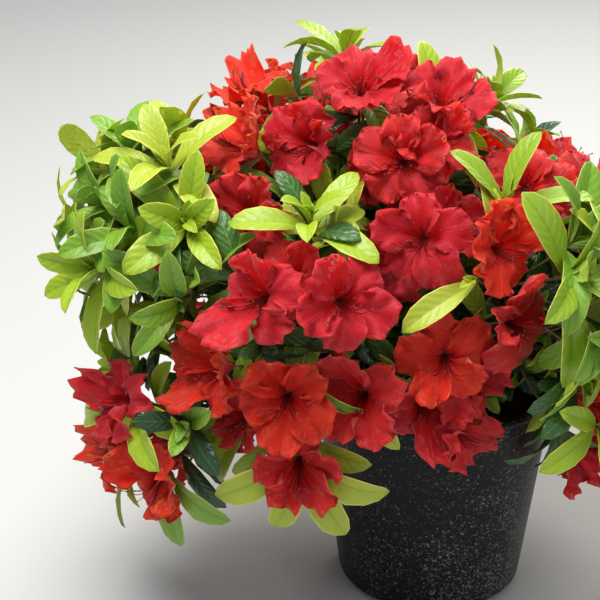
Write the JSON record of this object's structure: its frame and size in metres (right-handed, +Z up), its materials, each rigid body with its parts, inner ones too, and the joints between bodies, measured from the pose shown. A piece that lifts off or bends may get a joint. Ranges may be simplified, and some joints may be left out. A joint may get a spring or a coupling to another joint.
{
  "type": "potted azalea shrub",
  "caption": "Evergreen azalea shrub in full bloom, red funnel-shaped flowers over light green leaf rosettes, in a round black plastic nursery pot.",
  "frame": {"origin": "centre of the pot's flat underside, on the surface that the pot stands on", "axes": "+Z up along the pot's axis; the side that the picture shows faces -Y, with +X to its right"},
  "size_m": [0.4207, 0.3349, 0.3671],
  "materials": {
    "pot_plastic": "satin moulded recycled plastic with pale flecks and scuffs",
    "potting_bark": "moist composted bark",
    "limb_wood": "thin brown bark",
    "blossom": "soft velvety petals",
    "foliage": "soft leaves with a slight sheen"
  },
  "bodies": {
    "root": {"pot": "pot_plastic", "potting_bark": "potting_bark", "stem": "limb_wood", "bough_crown_top": "limb_wood", "bough_upper_left": "limb_wood", "bough_upper_right": "limb_wood", "bough_right_face": "limb_wood", "bough_right_top": "limb_wood", "bough_front_pair": "limb_wood", "bough_right_front": "limb_wood", "bough_rim_front": "limb_wood", "bough_front_left": "limb_wood", "bough_low_front": "limb_wood", "bough_low_left": "limb_wood", "bough_left_leafy": "limb_wood", "bough_left_under": "limb_wood", "bough_right_shoots": "limb_wood", "bough_right_under": "limb_wood", "bough_right_low": "limb_wood", "bough_right_side": "limb_wood", "bough_low_side": "limb_wood", "bough_right_crest": "limb_wood", "bough_right_rear": "limb_wood", "bough_rear_corner": "limb_wood", "bough_back_top": "limb_wood", "bough_back_right": "limb_wood", "bough_back_left": "limb_wood", "bough_back_low": "limb_wood", "bough_left_crest": "limb_wood", "bough_left_rear": "limb_wood", "bough_rear_low": "limb_wood", "mass_crown_top": "blossom", "mass_upper_left": "blossom", "mass_upper_right": "blossom", "mass_right_face": "blossom", "mass_right_top": "blossom", "mass_front_pair": "blossom", "mass_right_front": "blossom", "mass_rim_front": "blossom", "mass_front_left": "blossom", "mass_low_front": "blossom", "mass_low_left": "blossom", "mass_left_leafy": "foliage", "mass_left_under": "foliage", "mass_right_shoots": "foliage", "mass_right_under": "foliage", "mass_right_low": "blossom", "mass_right_side": "blossom", "mass_low_side": "blossom", "mass_right_crest": "blossom", "mass_right_rear": "blossom", "mass_rear_corner": "blossom", "mass_back_top": "blossom", "mass_back_right": "blossom", "mass_back_left": "blossom", "mass_back_low": "blossom", "mass_left_crest": "blossom", "mass_left_rear": "blossom", "mass_rear_low": "blossom"}
  },
  "joints": []
}
